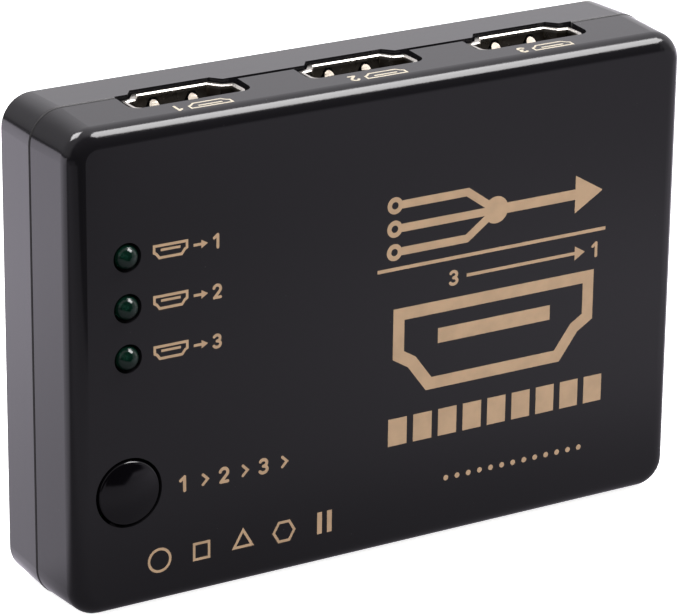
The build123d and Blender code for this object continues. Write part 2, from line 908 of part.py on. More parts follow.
def chip_capacitors():
    """A row of coupling capacitors under each input socket and above the output socket."""
    foot = socket_depth + contact_thickness + contact_row_gap + socket_recess
    places = []
    for x in input_places:
        places += socket_row(x, case_height - foot - capacitor_row_gap, capacitor_count)
    places += socket_row(0, foot + capacitor_row_gap, capacitor_count)
    return small_parts(places, capacitor_height)


def chip_resistors():
    """A row of resistors near the lights."""
    x, z = board_place(resistor_place_shares)
    return small_parts(socket_row(x, z, resistor_count), resistor_height)


# Writing the pieces

def save(name, shape):
    """Writes one piece, or a group of like pieces, to its own file."""
    if isinstance(shape, list):
        shape = Compound(children=[s if isinstance(s, Solid) else s.solid() for s in shape])
    shape.label = name
    export_step(shape, f"parts/{name}.step")


def main():
    """Makes every piece and writes it under its node's name."""
    os.makedirs("parts", exist_ok=True)
    pieces = {
        "front_shell": front_shell(),
        "rear_shell": rear_shell(),
        "case_screws": case_screws(),
        "circuit_board": circuit_board(),
        "select_button": select_button(),
        "tact_switch_base": tact_switch_base(),
        "tact_switch_cover": tact_switch_cover(),
        "tact_switch_dome": tact_switch_dome(),
        "tact_switch_plunger": tact_switch_plunger(),
        "tact_switch_legs": tact_switch_legs(),
        "status_light_leads": status_light_leads(),
        "video_switch_chip": video_switch_chip(),
        "video_switch_chip_leads": video_switch_chip_leads(),
        "control_chip": control_chip(),
        "control_chip_leads": control_chip_leads(),
        "voltage_regulator": voltage_regulator(),
        "voltage_regulator_leads": voltage_regulator_leads(),
        "bulk_capacitor_base": bulk_capacitor_base(),
        "bulk_capacitor_can": bulk_capacitor_can(),
        "chip_capacitors": chip_capacitors(),
        "chip_resistors": chip_resistors(),
    }
    for i, (x, z) in enumerate(light_places):
        pieces[f"status_light_{i + 1}"] = status_light(x, z)
    shells = at_every_socket(socket_shell())
    insulators = at_every_socket(socket_insulator())
    rows = [at_every_socket(c) for c in contacts()]
    names = ["input_socket_1", "input_socket_2", "input_socket_3", "output_socket"]
    for i, name in enumerate(names):
        pieces[f"{name}_shell"] = shells[i]
        pieces[f"{name}_insulator"] = insulators[i]
        pieces[f"{name}_contacts"] = [row[i] for row in rows]
    body, pin, metal = power_jack_pieces()
    pieces["power_jack_body"] = from_mouth(body, jack_spacing, False, jack_recess)
    pieces["power_jack_pin"] = from_mouth(pin, jack_spacing, False, jack_recess)
    pieces["power_jack_terminals"] = [from_mouth(m, jack_spacing, False, jack_recess) for m in metal]
    body, metal = remote_jack_pieces()
    pieces["remote_jack_body"] = from_mouth(body, -jack_spacing, False, jack_recess)
    pieces["remote_jack_contacts"] = [from_mouth(m, -jack_spacing, False, jack_recess) for m in metal]
    for name, shape in pieces.items():
        save(name, shape)


main()
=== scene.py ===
"""Looks of the video switch box: an add-on, run here as a script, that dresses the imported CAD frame.

Metres, in the frame of the CAD: +X to the right along the printed face, +Y from the face to the back, +Z up.
"""

import math

import bmesh
import bpy
import numpy as np
from bpy.props import FloatProperty, FloatVectorProperty, IntProperty, PointerProperty
from mathutils import Matrix, Vector


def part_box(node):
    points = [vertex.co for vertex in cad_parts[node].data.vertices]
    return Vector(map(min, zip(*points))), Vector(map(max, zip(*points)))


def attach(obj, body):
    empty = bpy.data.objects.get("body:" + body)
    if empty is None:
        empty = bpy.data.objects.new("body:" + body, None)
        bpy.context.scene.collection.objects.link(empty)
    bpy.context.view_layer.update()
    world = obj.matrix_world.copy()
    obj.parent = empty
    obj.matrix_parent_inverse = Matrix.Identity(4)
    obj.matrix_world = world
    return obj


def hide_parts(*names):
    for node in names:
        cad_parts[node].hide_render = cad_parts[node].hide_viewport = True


bl_info = {
    "name": "Video switch box",
    "version": (1, 0, 0),
    "blender": (4, 5, 0),
    "location": "3D View > Sidebar > Switch box",
    "description": "Finishes, prints, button, lights and studio of a small video switch box",
    "category": "Object",
}

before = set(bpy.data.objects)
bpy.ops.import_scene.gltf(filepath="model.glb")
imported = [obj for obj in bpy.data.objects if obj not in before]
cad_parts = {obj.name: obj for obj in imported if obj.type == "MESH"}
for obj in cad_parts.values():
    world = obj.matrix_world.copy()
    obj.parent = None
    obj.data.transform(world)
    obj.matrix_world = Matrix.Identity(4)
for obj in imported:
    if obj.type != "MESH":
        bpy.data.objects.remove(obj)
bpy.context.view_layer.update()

MM = 0.001
INPUTS = ("input_socket_1", "input_socket_2", "input_socket_3")
SOCKETS = (*INPUTS, "output_socket")
LIGHTS = ("status_light_1", "status_light_2", "status_light_3")
# Degrees that a round end stops short, so that no stroke ends in a point
BLUNT = 4


def mm(*values):
    """Millimetres as metres."""
    return [value * MM for value in values]


# Sizes, colours and studio settings

def length(name, description, default):
    """A length in metres."""
    return FloatProperty(name=name, description=description, default=default, min=0, unit="LENGTH",
                         precision=5)


def tint(name, description, default):
    """A linear colour."""
    return FloatVectorProperty(name=name, description=description, default=default, min=0, max=1,
                               subtype="COLOR")


def share(name, description, default):
    """A plain number, such as a roughness or a strength."""
    return FloatProperty(name=name, description=description, default=default, min=0)


def degrees(name, description, default):
    """An angle in degrees."""
    return FloatProperty(name=name, description=description, default=default)


class SwitchBoxSizes(bpy.types.PropertyGroup):
    """Lengths of the pieces that are made here, and the steps that round ones are made in."""

    lean: length("Lean", "How far the front half's sides lean in from the seam to the face", 0.00045)
    front_depth: length("Front depth", "Depth of the front half, from the face to the seam", 0.009)
    seam: length("Seam", "Width of the gap between the two halves", 0.00022)
    lip_matt: length("Lip matt", "From the rear half's front edge to the end of its matt lip", 0.00009)
    lip_gloss: length("Lip gloss", "From the same edge to where the full gloss starts", 0.00013)
    rim_round: length("Rim round", "Rounding of the button's rim", 0.00032)
    rim_proud: length("Rim proud", "How far the button's rim stands out of the face", 0.0001)
    tab_level: length("Tab level", "Depth behind the face where the button's tabs start", 0.00185)
    tab_thickness: length("Tab thickness", "Thickness of the button's tabs", 0.0008)
    tab_width: length("Tab width", "Width of the button's tabs", 0.003)
    stem_radius: length("Stem radius", "Radius of the button's stem", 0.002)
    sheet_break: length("Sheet break", "Rounding of the plated sheet's edges", 0.00008)
    ink: length("Ink", "Thickness of the printed ink", 0.000012)
    fine_line: length("Fine line", "Width of the lines in the small prints", 0.00034)
    cap_height: length("Cap height", "Height of the numbers beside the lights", 0.00185)
    port_number: length("Port number", "Height of the prints beside the ports", 0.0017)
    port_line: length("Port line", "Width of the lines beside the ports", 0.00026)
    port_setback: length("Port setback", "From the face to the prints beside the ports", 0.00225)
    cup_radius: length("Cup radius", "Radius of the reflector cup inside a light", 0.0008)
    steps: IntProperty(name="Steps", description="Steps round a turned piece", default=96, min=12)


class SwitchBoxColours(bpy.types.PropertyGroup):
    """Colours of the finishes."""

    case: tint("Case", "Gloss black moulding", (0.0095, 0.0090, 0.0105))
    button: tint("Button", "Gloss black cap", (0.0025, 0.0022, 0.0030))
    # Painted shade: the tone of the matt band on the rear half's lip stands in for the shade in the seam's
    # gap.
    seam_shade: tint("Lip", "Matt edge that the seam shows", (0.05, 0.048, 0.05))
    lens: tint("Lens", "Green resin of the lights", (0.004, 0.024, 0.015))
    print: tint("Print", "Tan gold ink", (0.62, 0.43, 0.265))
    port_print: tint("Port print", "Cream ink beside the ports", (0.50, 0.45, 0.35))
    nickel: tint("Nickel", "Bright plate of the sockets", (0.66, 0.63, 0.58))
    gold: tint("Gold", "Gold flash of the contacts", (0.83, 0.60, 0.26))
    tin: tint("Tin", "Dull tin of pins and leads", (0.60, 0.60, 0.61))
    insulator: tint("Insulator", "Matt black moulding in the sockets and jacks", (0.010, 0.010, 0.011))
    screw: tint("Screw", "Blackened steel", (0.055, 0.055, 0.06))
    resist: tint("Resist", "Green solder resist on the board", (0.012, 0.105, 0.038))
    trace: tint("Trace", "Solder resist over copper", (0.030, 0.200, 0.070))
    epoxy: tint("Epoxy", "Chip packages", (0.022, 0.022, 0.024))
    can: tint("Can", "Bare aluminium", (0.72, 0.73, 0.75))
    ceramic: tint("Ceramic", "Fired brown ceramic", (0.36, 0.24, 0.13))


class SwitchBoxStudio(bpy.types.PropertyGroup):
    """Camera, lamps and surroundings."""

    azimuth: degrees("Azimuth", "Camera's turn to the left of the face, in degrees", 31.195)
    elevation: degrees("Elevation", "Camera's height above level, in degrees", 20.676)
    roll: degrees("Roll", "Camera's roll, in degrees", 0.662)
    distance: length("Distance", "From the camera to the point it looks at", 0.47818)
    lens: share("Lens", "Focal length on a 36 mm sensor, in millimetres", 204.52)
    target: FloatVectorProperty(name="Target", description="The point the camera looks at", size=3,
                                default=(-0.000664, 0.00195, 0.029764), unit="LENGTH", precision=6)
    key: share("Key", "Radiance of the softboxes above the box", 11.7)
    fill: share("Fill", "Radiance of the softbox in front, which no gloss shows", 6.0)
    floor_glow: share("Floor glow", "The seen floor's own light, where 1 is white", 0.86)
    floor_far: share("Floor far", "Light that the floor behind the box sends into its gloss", 1.45)
    floor_near: share("Floor near", "Light from the floor in front into the face's left end", 0.30)
    floor_right: share("Floor right", "What is added to it at the face's right end", 0.34)
    room: share("Room", "Light of the backdrop behind and above the box", 0.95)
    card: share("Card", "Light of the pale card on the right of the camera", 0.35)
    dark: share("Dark", "Light of the dark side behind the camera", 0.004)


# Surfaces: grids of points whose columns run round the surface

def grid_faces(rows, columns, ring):
    """Quads of a grid that is round in its columns, and in its rows too if ring is set: cell (i, j) joins
    point (i, j) with the next in its row, the next row's next and the next row's own."""
    i = np.arange(rows if ring else rows - 1)[:, None]
    j = np.arange(columns)[None, :]
    k, m = (i + 1) % rows, (j + 1) % columns
    corners = np.broadcast_arrays(i * columns + j, i * columns + m, k * columns + m, k * columns + j)
    return np.stack(corners, axis=-1).reshape(-1, 4)


def make_piece(name, grids, finish, body, sharp=35.0):
    """One mesh of several grids, each (points, ring). A grid that is no ring is closed at both ends. Rows
    that shrink to a point are merged there, faces look outward, and edges sharper than the angle stay
    sharp."""
    faces, start = [], 0
    for points, ring in grids:
        rows, columns = points.shape[:2]
        faces += (grid_faces(rows, columns, ring) + start).tolist()
        if not ring:
            last = start + (rows - 1) * columns
            faces += [list(range(start, start + columns)), list(range(last, last + columns))]
        start += rows * columns
    mesh = bpy.data.meshes.new(name)
    mesh.from_pydata(np.concatenate([g.reshape(-1, 3) for g, _ in grids]), [], faces)
    work = bmesh.new()
    work.from_mesh(mesh)
    bmesh.ops.remove_doubles(work, verts=work.verts, dist=1e-8)
    bmesh.ops.dissolve_degenerate(work, edges=work.edges, dist=1e-9)
    bmesh.ops.recalc_face_normals(work, faces=work.faces)
    work.to_mesh(mesh)
    work.free()
    mesh.shade_smooth()
    mesh.set_sharp_from_angle(angle=math.radians(sharp))
    mesh.materials.append(finish)
    piece = bpy.data.objects.new(name, mesh)
    bpy.context.scene.collection.objects.link(piece)
    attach(piece, body)
    return piece


def turned(profile, centre, steps):
    """Rows of (radius r, depth y) turned about the line along Y through centre (x, z): a point at angle t is
    (x + r cos t, y, z + r sin t)."""
    turn = np.linspace(0, 2 * np.pi, steps, endpoint=False)[None, :]
    radius, depth = profile[:, :1], profile[:, 1:]
    x, z = centre[0] + radius * np.cos(turn), centre[1] + radius * np.sin(turn)
    return np.stack([x, depth + 0 * turn, z], -1)


def bar(low, high):
    """A square-cornered bar along X between two opposite corners: two rows of the four corners in Y and Z."""
    y = np.array([low[1], high[1], high[1], low[1]])
    z = np.array([low[2], low[2], high[2], high[2]])
    return np.stack([np.stack([np.full(4, x), y, z], -1) for x in (low[0], high[0])])


def arc(centre, radii, start, end, steps):
    """Points on an ellipse's arc from the start angle to the end angle, in degrees."""
    angle = np.radians(np.linspace(start, end, steps))
    return np.stack([centre[0] + radii[0] * np.cos(angle), centre[1] + radii[1] * np.sin(angle)], -1)


# Prints: flat strokes, drawn in a plane's own right and up

class Plane:
    """A place for prints: an origin with a right and an up direction; out is their cross product."""

    def __init__(self, origin, right, up):
        self.origin, self.right, self.up = (np.array(v, float) for v in (origin, right, up))
        self.right /= np.linalg.norm(self.right)
        self.up /= np.linalg.norm(self.up)
        self.out = np.cross(self.right, self.up)

    def at(self, across, up, out):
        """Points from arrays of distances along the three directions."""
        return (self.origin + across[..., None] * self.right + up[..., None] * self.up
                + out[..., None] * self.out)


def stroke(path, half_widths, ring=False):
    """An ink stroke: each path point is pushed to both sides along the mitre of its two neighbouring
    segments by its half width over the mitre's cosine."""
    path = np.array(path, float)
    step = np.roll(path, -1, 0) - path
    if not ring:
        step[-1] = step[-2]
    step /= np.linalg.norm(step, axis=1, keepdims=True)
    before = np.roll(step, 1, 0)
    if not ring:
        before[0] = step[0]
    side = np.stack([-step[:, 1], step[:, 0]], -1)
    mitre = side + np.stack([-before[:, 1], before[:, 0]], -1)
    mitre /= np.linalg.norm(mitre, axis=1, keepdims=True)
    reach = np.broadcast_to(half_widths, len(path)) / (mitre * side).sum(1)
    return path + mitre * reach[:, None], path - mitre * reach[:, None], ring


def rounded_stroke(path, width, steps=6):
    """A stroke with half-round ends: at each end the path runs on by a sine and narrows by the cosine."""
    path = np.array(path, float)
    angle = np.linspace(0, math.radians(90 - BLUNT), steps)[1:]
    first, last = path[0] - path[1], path[-1] - path[-2]
    head = path[0] + first / np.linalg.norm(first) * width / 2 * np.sin(angle)[::-1, None]
    tail = path[-1] + last / np.linalg.norm(last) * width / 2 * np.sin(angle)[:, None]
    halves = width / 2 * np.concatenate([np.cos(angle)[::-1], np.ones(len(path)), np.cos(angle)])
    return stroke(np.concatenate([head, path, tail]), halves)


def disc(centre, radius, steps=20):
    """A filled circle as a stroke along its diameter whose half width is the chord's half."""
    angle = np.radians(np.linspace(BLUNT, 180 - BLUNT, steps))
    path = np.stack([centre[0] - radius * np.cos(angle), np.full(steps, centre[1])], -1)
    return stroke(path, radius * np.sin(angle))


def block(low, high):
    """A filled rectangle between two corners."""
    middle = (low[1] + high[1]) / 2
    return stroke([(low[0], middle), (high[0], middle)], (high[1] - low[1]) / 2)


def loop(points, width):
    """An outline round a polygon's corners."""
    return stroke(points, width / 2, ring=True)


def arrow(start, end, width, head):
    """A level line with a filled three-cornered head, a quarter wider at its neck than it is long."""
    neck = end[0] - math.copysign(head, end[0] - start[0])
    shaft = stroke([start, (neck, end[1])], width / 2)
    neck_half, tip_half = 0.62 * head, 0.02 * head
    return [shaft, stroke([(neck, end[1]), end], [neck_half, tip_half])]


def chevron(tip, size, width):
    """An open arrow head that points to the right."""
    x, y = tip
    half = size / 2
    return rounded_stroke([(x - half, y + half), tip, (x - half, y - half)], width)


def numeral(number, low_left, height, weight=0.20):
    """The strokes of 1, 2 or 3, drawn on a unit height and scaled."""
    drawn = {
        1: [[(0.10, 0.74), (0.36, 0.93)], [(0.36, 0.92), (0.36, 0.08)]],
        2: [np.concatenate([arc((0.31, 0.67), (0.25, 0.25), 165, -38, 16), [(0.10, 0.085)]]),
            [(0.10, 0.085), (0.56, 0.085)]],
        3: [arc((0.29, 0.71), (0.23, 0.205), 150, -90, 16), arc((0.29, 0.295), (0.26, 0.21), 90, -150, 16)],
    }[number]
    return [rounded_stroke(np.array(low_left) + np.array(part) * height, weight * height) for part in drawn]


def socket_sign(low, high, width):
    """The outline of a video socket with its tongue: a rectangle whose lower corners are stepped in."""
    outline = np.array([(0, 1), (1, 1), (1, 0.46), (0.93, 0.34), (0.84, 0), (0.16, 0), (0.07, 0.34),
                        (0, 0.46)])
    tongue_level, tongue_inset, tongue_half = 0.60, 0.22, 0.085
    low, high = np.array(low, float), np.array(high, float)
    wide, tall = high - low
    corners = low + width / 2 + outline * (high - low - width)
    left, right = low[0] + tongue_inset * wide, high[0] - tongue_inset * wide
    level, half = low[1] + tongue_level * tall, tongue_half * tall
    return [loop(corners, width), block((left, level - half), (right, level + half))]


def print_piece(name, strokes, plane, finish):
    """One thin solid per stroke, its edges at the ink's height and just under the surface. Neighbours
    differ a little in height, so that no two tops share a level where they cross."""
    ink = bpy.context.scene.switch_box_sizes.ink
    levels, rise = 4, 0.2
    grids = []
    for number, (left, right, ring) in enumerate(strokes):
        across = np.stack([left[:, 0], right[:, 0], right[:, 0], left[:, 0]], -1)
        up = np.stack([left[:, 1], right[:, 1], right[:, 1], left[:, 1]], -1)
        height = ink * (1 + rise * (number % levels))
        out = np.broadcast_to(np.array([1, 1, -1, -1]) * height, across.shape)
        grids.append((plane.at(across, up, out), ring))
    return make_piece(name, grids, finish, "case")


# Shader sums

class Wire:
    """A shader socket that can be added, multiplied and compared in plain sums."""

    def __init__(self, tree, socket):
        self.tree, self.socket = tree, socket

    def math(self, operation, *values):
        """A Math node over wires or numbers."""
        node = self.tree.nodes.new("ShaderNodeMath")
        node.operation = operation
        for place, value in zip(node.inputs, values):
            connect(self.tree, place, value)
        return Wire(self.tree, node.outputs[0])

    def __add__(self, other):
        return self.math("ADD", self, other)

    def __sub__(self, other):
        return self.math("SUBTRACT", self, other)

    def __rsub__(self, other):
        return self.math("SUBTRACT", other, self)

    def __mul__(self, other):
        return self.math("MULTIPLY", self, other)

    def __truediv__(self, other):
        return self.math("DIVIDE", self, other)

    def __rtruediv__(self, other):
        return self.math("DIVIDE", other, self)

    def __pow__(self, other):
        return self.math("POWER", self, other)

    __radd__, __rmul__ = __add__, __mul__

    def rise(self, low, high):
        """0 at low, 1 at high and a smooth step between; it falls if low is the larger."""
        if low > high:
            return 1 - self.rise(high, low)
        node = self.tree.nodes.new("ShaderNodeMapRange")
        node.interpolation_type = "SMOOTHSTEP"
        for name, value in (("Value", self), ("From Min", low), ("From Max", high)):
            connect(self.tree, node.inputs[name], value)
        return Wire(self.tree, node.outputs["Result"])


def connect(tree, place, value):
    """Links a wire to a socket, or sets the socket's own value."""
    if isinstance(value, Wire):
        tree.links.new(value.socket, place)
    elif hasattr(place.default_value, "__len__") and len(place.default_value) == 4:
        place.default_value = (*value, 1.0)
    else:
        place.default_value = value


class Finish:
    """A node tree being built: a material's, or the world's."""

    def __init__(self, owner):
        owner.use_nodes = True
        self.owner, self.tree = owner, owner.node_tree
        self.tree.nodes.clear()

    def node(self, kind, settings=None, output=0, **inputs):
        """Any node: its settings first, then its inputs, by name with _ for a space or by number after a _.
        Gives the named or numbered output."""
        node = self.tree.nodes.new(f"ShaderNode{kind}")
        for name, value in (settings or {}).items():
            setattr(node, name, value)
        for name, value in inputs.items():
            place = node.inputs[int(name[1:])] if name[0] == "_" else node.inputs[name.replace("_", " ")]
            connect(self.tree, place, value)
        return Wire(self.tree, node.outputs[output])

    def position(self, stretch=(1, 1, 1)):
        """The point in the object's own space, stretched along its axes."""
        place = self.node("TexCoord", output="Object")
        return self.node("VectorMath", {"operation": "MULTIPLY"}, _0=place, _1=stretch)

    def axes(self, vector):
        """The three parts of a vector."""
        split = self.node("SeparateXYZ", Vector=vector)
        return [Wire(self.tree, part) for part in split.socket.node.outputs]

    def noise(self, grain, detail=2.0, stretch=(1, 1, 1)):
        """Noise whose features are about grain metres across."""
        place = self.position(stretch)
        return self.node("TexNoise", output="Fac", Vector=place, Scale=1 / grain, Detail=detail)

    def spots(self, pitch, reach, fade):
        """Round spots strewn about pitch metres apart: 1 within fade and 0 beyond reach, both in pitches."""
        cells = self.node("TexVoronoi", {"feature": "F1"}, output="Distance", Vector=self.position(),
                          Scale=1 / pitch, Randomness=1.0)
        return cells.rise(reach, fade)

    def blend(self, factor, first, second):
        """A colour between two colours."""
        return self.node("Mix", {"data_type": "RGBA"}, output=2, _0=factor, _6=first, _7=second)

    def bump(self, height, depth):
        """A normal from a height field of that depth in metres."""
        return self.node("Bump", Height=height, Distance=depth)

    def surface(self, shader):
        """Sets the shader as the tree's output."""
        kind = "World" if isinstance(self.owner, bpy.types.World) else "Material"
        out = self.tree.nodes.new(f"ShaderNodeOutput{kind}")
        self.tree.links.new(shader.socket, out.inputs["Surface"])
        return self.owner


def shades(colour, *factors):
    """The colour times each factor; a factor may be a number or one number for each channel."""
    return [tuple(np.array(colour) * factor) for factor in factors]


def grained(name, colour, roughness, metallic=0.0, grain=0.0004, depth=2e-6, mottle=0.12, scuff=0.05,
            stretch=(1, 1, 1)):
    """An even finish with life in it: fine grain in the surface, broad patches in the colour, and scuffs and
    patches in the roughness."""
    f = Finish(bpy.data.materials.new(name))
    fine = f.noise(grain, 3.0, stretch)
    broad = f.noise(grain * 14)
    scratch = f.noise(grain * 3, 4.0, (stretch[0] * 0.12, stretch[1], stretch[2])).rise(0.60, 0.72)
    dark, light = shades(colour, 1 - mottle, 1 + mottle)
    shader = f.node(
        "BsdfPrincipled", Base_Color=f.blend(broad.rise(0.35, 0.65), dark, light), Metallic=metallic,
        Roughness=roughness + scuff * (broad + 0.6 * scratch - 0.5), Normal=f.bump(fine, depth))
    return f.surface(shader)


def plated(name, colour, middle, bright, dull):
    """Bright plate on sheet metal with painted shade inside the mouth: its colour is darkened there for the
    shade of the hollow. The tone goes by the distance from the box's middle height: plain from bright
    outwards, darkened from dull inwards."""
    f = Finish(bpy.data.materials.new(name))
    _, _, z = f.axes(f.position())
    # Painted shade: 1 inside the socket mouths, where the plate's colour is darkened for the shade there.
    inside = z.math("ABSOLUTE", z - middle).rise(bright, dull)
    cloud = f.noise(0.0008, 3.0)
    roll = f.noise(0.00012, stretch=(0.1, 1.0, 1.0))
    # The darkened plate colour of the painted shade.
    painted_shade = shades(colour, (0.27, 0.245, 0.22))[0]
    shader = f.node(
        "BsdfPrincipled", Base_Color=f.blend(inside * (0.85 + 0.15 * cloud), colour, painted_shade), Metallic=1.0,
        Roughness=0.24 + 0.08 * cloud, Normal=f.bump(roll, 1e-6))
    return f.surface(shader)


def gloss_black(name, colour, roughness=0.11, seam_shade=None, matt_to=0.0, gloss_from=0.0):
    """Glossy black moulding: an orange-peel ripple a millimetre and a half across, hazy wipe marks in the
    gloss, hairline scratches and a few specks of dust. Where a seam shade colour is given, the surface is
    matt in that colour up to the first of two places along Y and glossy from the second: painted shade, a
    matt grey band that stands in for the shade in the seam's gap."""
    f = Finish(bpy.data.materials.new(name))
    peel = f.noise(0.0016)
    haze = f.noise(0.009, 3.0)
    hair = f.noise(0.0009, 5.0, (0.06, 1.0, 1.0)).rise(0.63, 0.70)
    speck = f.spots(0.0026, 0.035, 0.015)
    pale = tuple(c + 0.035 for c in colour)
    shader = f.node(
        "BsdfPrincipled", Base_Color=f.blend(speck * haze.rise(0.42, 0.62), colour, pale), IOR=1.5,
        Roughness=roughness + 0.05 * haze + 0.05 * hair + 0.25 * speck, Normal=f.bump(peel, 2.5e-6))
    if seam_shade is not None:
        # Painted shade: a matt band of the seam shade colour on the rear half's edge gives the seam its dark
        # line.
        _, y, _ = f.axes(f.position())
        frost = f.bump(f.noise(0.00008), 3e-6)
        matt = f.node("BsdfPrincipled", Base_Color=seam_shade, Roughness=0.6, Normal=frost)
        shader = f.node("MixShader", _0=y.rise(matt_to, gloss_from), _1=matt, _2=shader)
    return f.surface(shader)


def ink_finish(name, colour):
    """Screen-printed ink: a little uneven in tone and roughness, its surface faintly grained."""
    f = Finish(bpy.data.materials.new(name))
    cloud = f.noise(0.0022, 3.0)
    mesh = f.noise(0.00016, 1.0)
    dark, light = shades(colour, 0.93, 1.05)
    shader = f.node("BsdfPrincipled", Base_Color=f.blend(cloud.rise(0.3, 0.7), dark, light),
                    Roughness=0.42 + 0.12 * cloud, Normal=f.bump(mesh, 1.5e-6))
    return f.surface(shader)


def resin(name, colour):
    """Tinted resin that lets part of the light through; a faint cloudiness roughens it."""
    f = Finish(bpy.data.materials.new(name))
    cloud = f.noise(0.0005)
    dark, light = shades(colour, 0.85, 1.15)
    shader = f.node("BsdfPrincipled", Base_Color=f.blend(cloud, dark, light), IOR=1.52,
                    Transmission_Weight=0.4, Roughness=0.03 + 0.05 * cloud)
    return f.surface(shader)


def board_finish(name, plain, trace, tin):
    """Solder resist over a laminate: straight copper runs show as paler, raised bands with round pads."""
    f = Finish(bpy.data.materials.new(name))
    quarter = math.pi / 2
    runs = []
    for turn in (0.0, quarter):
        level = f.node("VectorRotate", {"rotation_type": "Y_AXIS"}, Vector=f.position(), Angle=turn)
        upright = f.node("VectorRotate", {"rotation_type": "X_AXIS"}, Vector=level, Angle=quarter)
        runs.append(f.node(
            "TexBrick", {"offset": 0.37, "squash": 1.0}, output="Fac", Vector=upright, Scale=1.0,
            Mortar_Size=0.00012, Mortar_Smooth=0.1, Brick_Width=0.0075, Row_Height=0.0017))
    along, across = runs
    copper = along.math("MAXIMUM", along, across * f.noise(0.012, 0.0).rise(0.5, 0.52))
    pad = f.spots(0.0046, 0.10, 0.08)
    weave = f.noise(0.0007)
    resist = f.blend(copper, plain, trace)
    shader = f.node("BsdfPrincipled", Base_Color=f.blend(pad, resist, tin), Metallic=pad,
                    Roughness=0.34 + 0.10 * weave - 0.06 * copper,
                    Normal=f.bump(copper + 0.25 * weave + pad, 2.5e-5))
    return f.surface(shader)


# Handling of the CAD's own nodes

def dress(finish, *names):
    """Gives CAD nodes a finish through their own material slots."""
    for name in names:
        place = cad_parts[name].material_slots[0]
        place.link = "OBJECT"
        place.material = finish


def soften(width, *names):
    """Breaks the sharp edges of CAD nodes: doubles are welded, then edges over 30 degrees are bevelled."""
    for name in names:
        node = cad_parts[name]
        weld = node.modifiers.new("weld", "WELD")
        weld.merge_threshold = 1e-6
        bevel = node.modifiers.new("edge", "BEVEL")
        bevel.width = width
        bevel.segments = 2
        bevel.limit_method = "ANGLE"
        bevel.angle_limit = math.radians(30)
        bevel.use_clamp_overlap = True
        bevel.harden_normals = False


# Case, button, lights, sockets and board

class DressCase(bpy.types.Operator):
    """Finishes of the two case halves and the screws"""

    bl_idname = "switch_box.dress_case"
    bl_label = "Case"

    def execute(self, context):
        sizes, colours = context.scene.switch_box_sizes, context.scene.switch_box_colours
        rear_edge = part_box("front_shell")[0].y + sizes.front_depth + sizes.seam
        dress(gloss_black("gloss_black", colours.case), "front_shell")
        # The rear half carries the painted seam shade on its matt lip.
        dress(gloss_black("gloss_black_seam_shaded", colours.case, seam_shade=colours.seam_shade,
                          matt_to=rear_edge + sizes.lip_matt, gloss_from=rear_edge + sizes.lip_gloss),
              "rear_shell")
        dress(grained("black_steel", colours.screw, roughness=0.34, metallic=1.0, grain=0.0003, depth=3e-6),
              "case_screws")
        return {"FINISHED"}


def round_node(name):
    """A node that is round about Y: its middle in X and Z, its radius across X, its front and its back."""
    low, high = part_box(name)
    return ((low.x + high.x) / 2, (low.z + high.z) / 2), (high.x - low.x) / 2, low.y, high.y


def domed_cap(radius, front, edge, rounding, rows=24):
    """Rows (r, y) of a domed cap. Its crown is part of a ball, y = front + ball - sqrt(ball^2 - r^2), that
    would meet the radius at the edge, with the rows closer together near the rim. An arc of an ellipse
    joins it to the side wall."""
    rise = edge - front
    ball = (radius ** 2 + rise ** 2) / (2 * rise)
    inner = radius - rounding
    across = inner * np.linspace(0, 1, rows) ** 0.8
    crown = np.stack([across, front + ball - np.sqrt(ball ** 2 - across ** 2)], -1)
    crown_end, wall_start = crown[-1, 1], edge + rounding
    rim = arc((inner, wall_start), (rounding, wall_start - crown_end), start=-80, end=0, steps=10)
    return np.concatenate([crown, rim])


def half_ball(radius, front, rows=22):
    """Rows (r, y) of a half ball: r = radius sin a and y = front + radius (1 - cos a), for a from 0 to 90."""
    angle = np.radians(np.linspace(0, 90, rows))
    return np.stack([radius * np.sin(angle), front + radius * (1 - np.cos(angle))], -1)


def reflector(cup, mouth, back):
    """Rows (r, y) of a cup whose hollow faces the front, on a post that goes to the back: straight runs
    between shares of the cup's radius."""
    floor, rim, wall, foot, post, short = (part * cup for part in (0.45, 0.9, 0.8, 1.1, 0.4, 0.2))
    return np.array([(0, mouth + floor), (floor, mouth + floor), (rim, mouth), (cup, mouth),
                     (cup, mouth + wall), (post, mouth + foot), (post, back - short), (0, back - short)])


class MakeButton(bpy.types.Operator):
    """The select button: a smooth domed cap with its tabs and stem"""

    bl_idname = "switch_box.make_button"
    bl_label = "Button"

    def execute(self, context):
        sizes, colours = context.scene.switch_box_sizes, context.scene.switch_box_colours
        centre, radius, front, back = round_node("select_button")
        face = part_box("front_shell")[0].y
        tab_front = face + sizes.tab_level
        tab_back = tab_front + sizes.tab_thickness
        crown = domed_cap(radius, front, face - sizes.rim_proud, sizes.rim_round)
        stem = sizes.stem_radius
        skirt = [(radius, tab_front), (radius, tab_back), (stem, tab_back), (stem, back), (0, back)]
        cap = turned(np.concatenate([crown, skirt]), centre, sizes.steps)
        low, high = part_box("select_button")
        left, right = centre[0] - sizes.tab_width / 2, centre[0] + sizes.tab_width / 2
        reach = radius - sizes.rim_round
        tabs = [(bar((left, tab_front, bottom), (right, tab_back, top)), False)
                for bottom, top in ((centre[1] + reach, high.z), (low.z, centre[1] - reach))]
        finish = gloss_black("button_black", colours.button, roughness=0.07)
        piece = make_piece("button_cap", [(cap, False), *tabs], finish, "select_button")
        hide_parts("select_button")
        return {"FINISHED"}


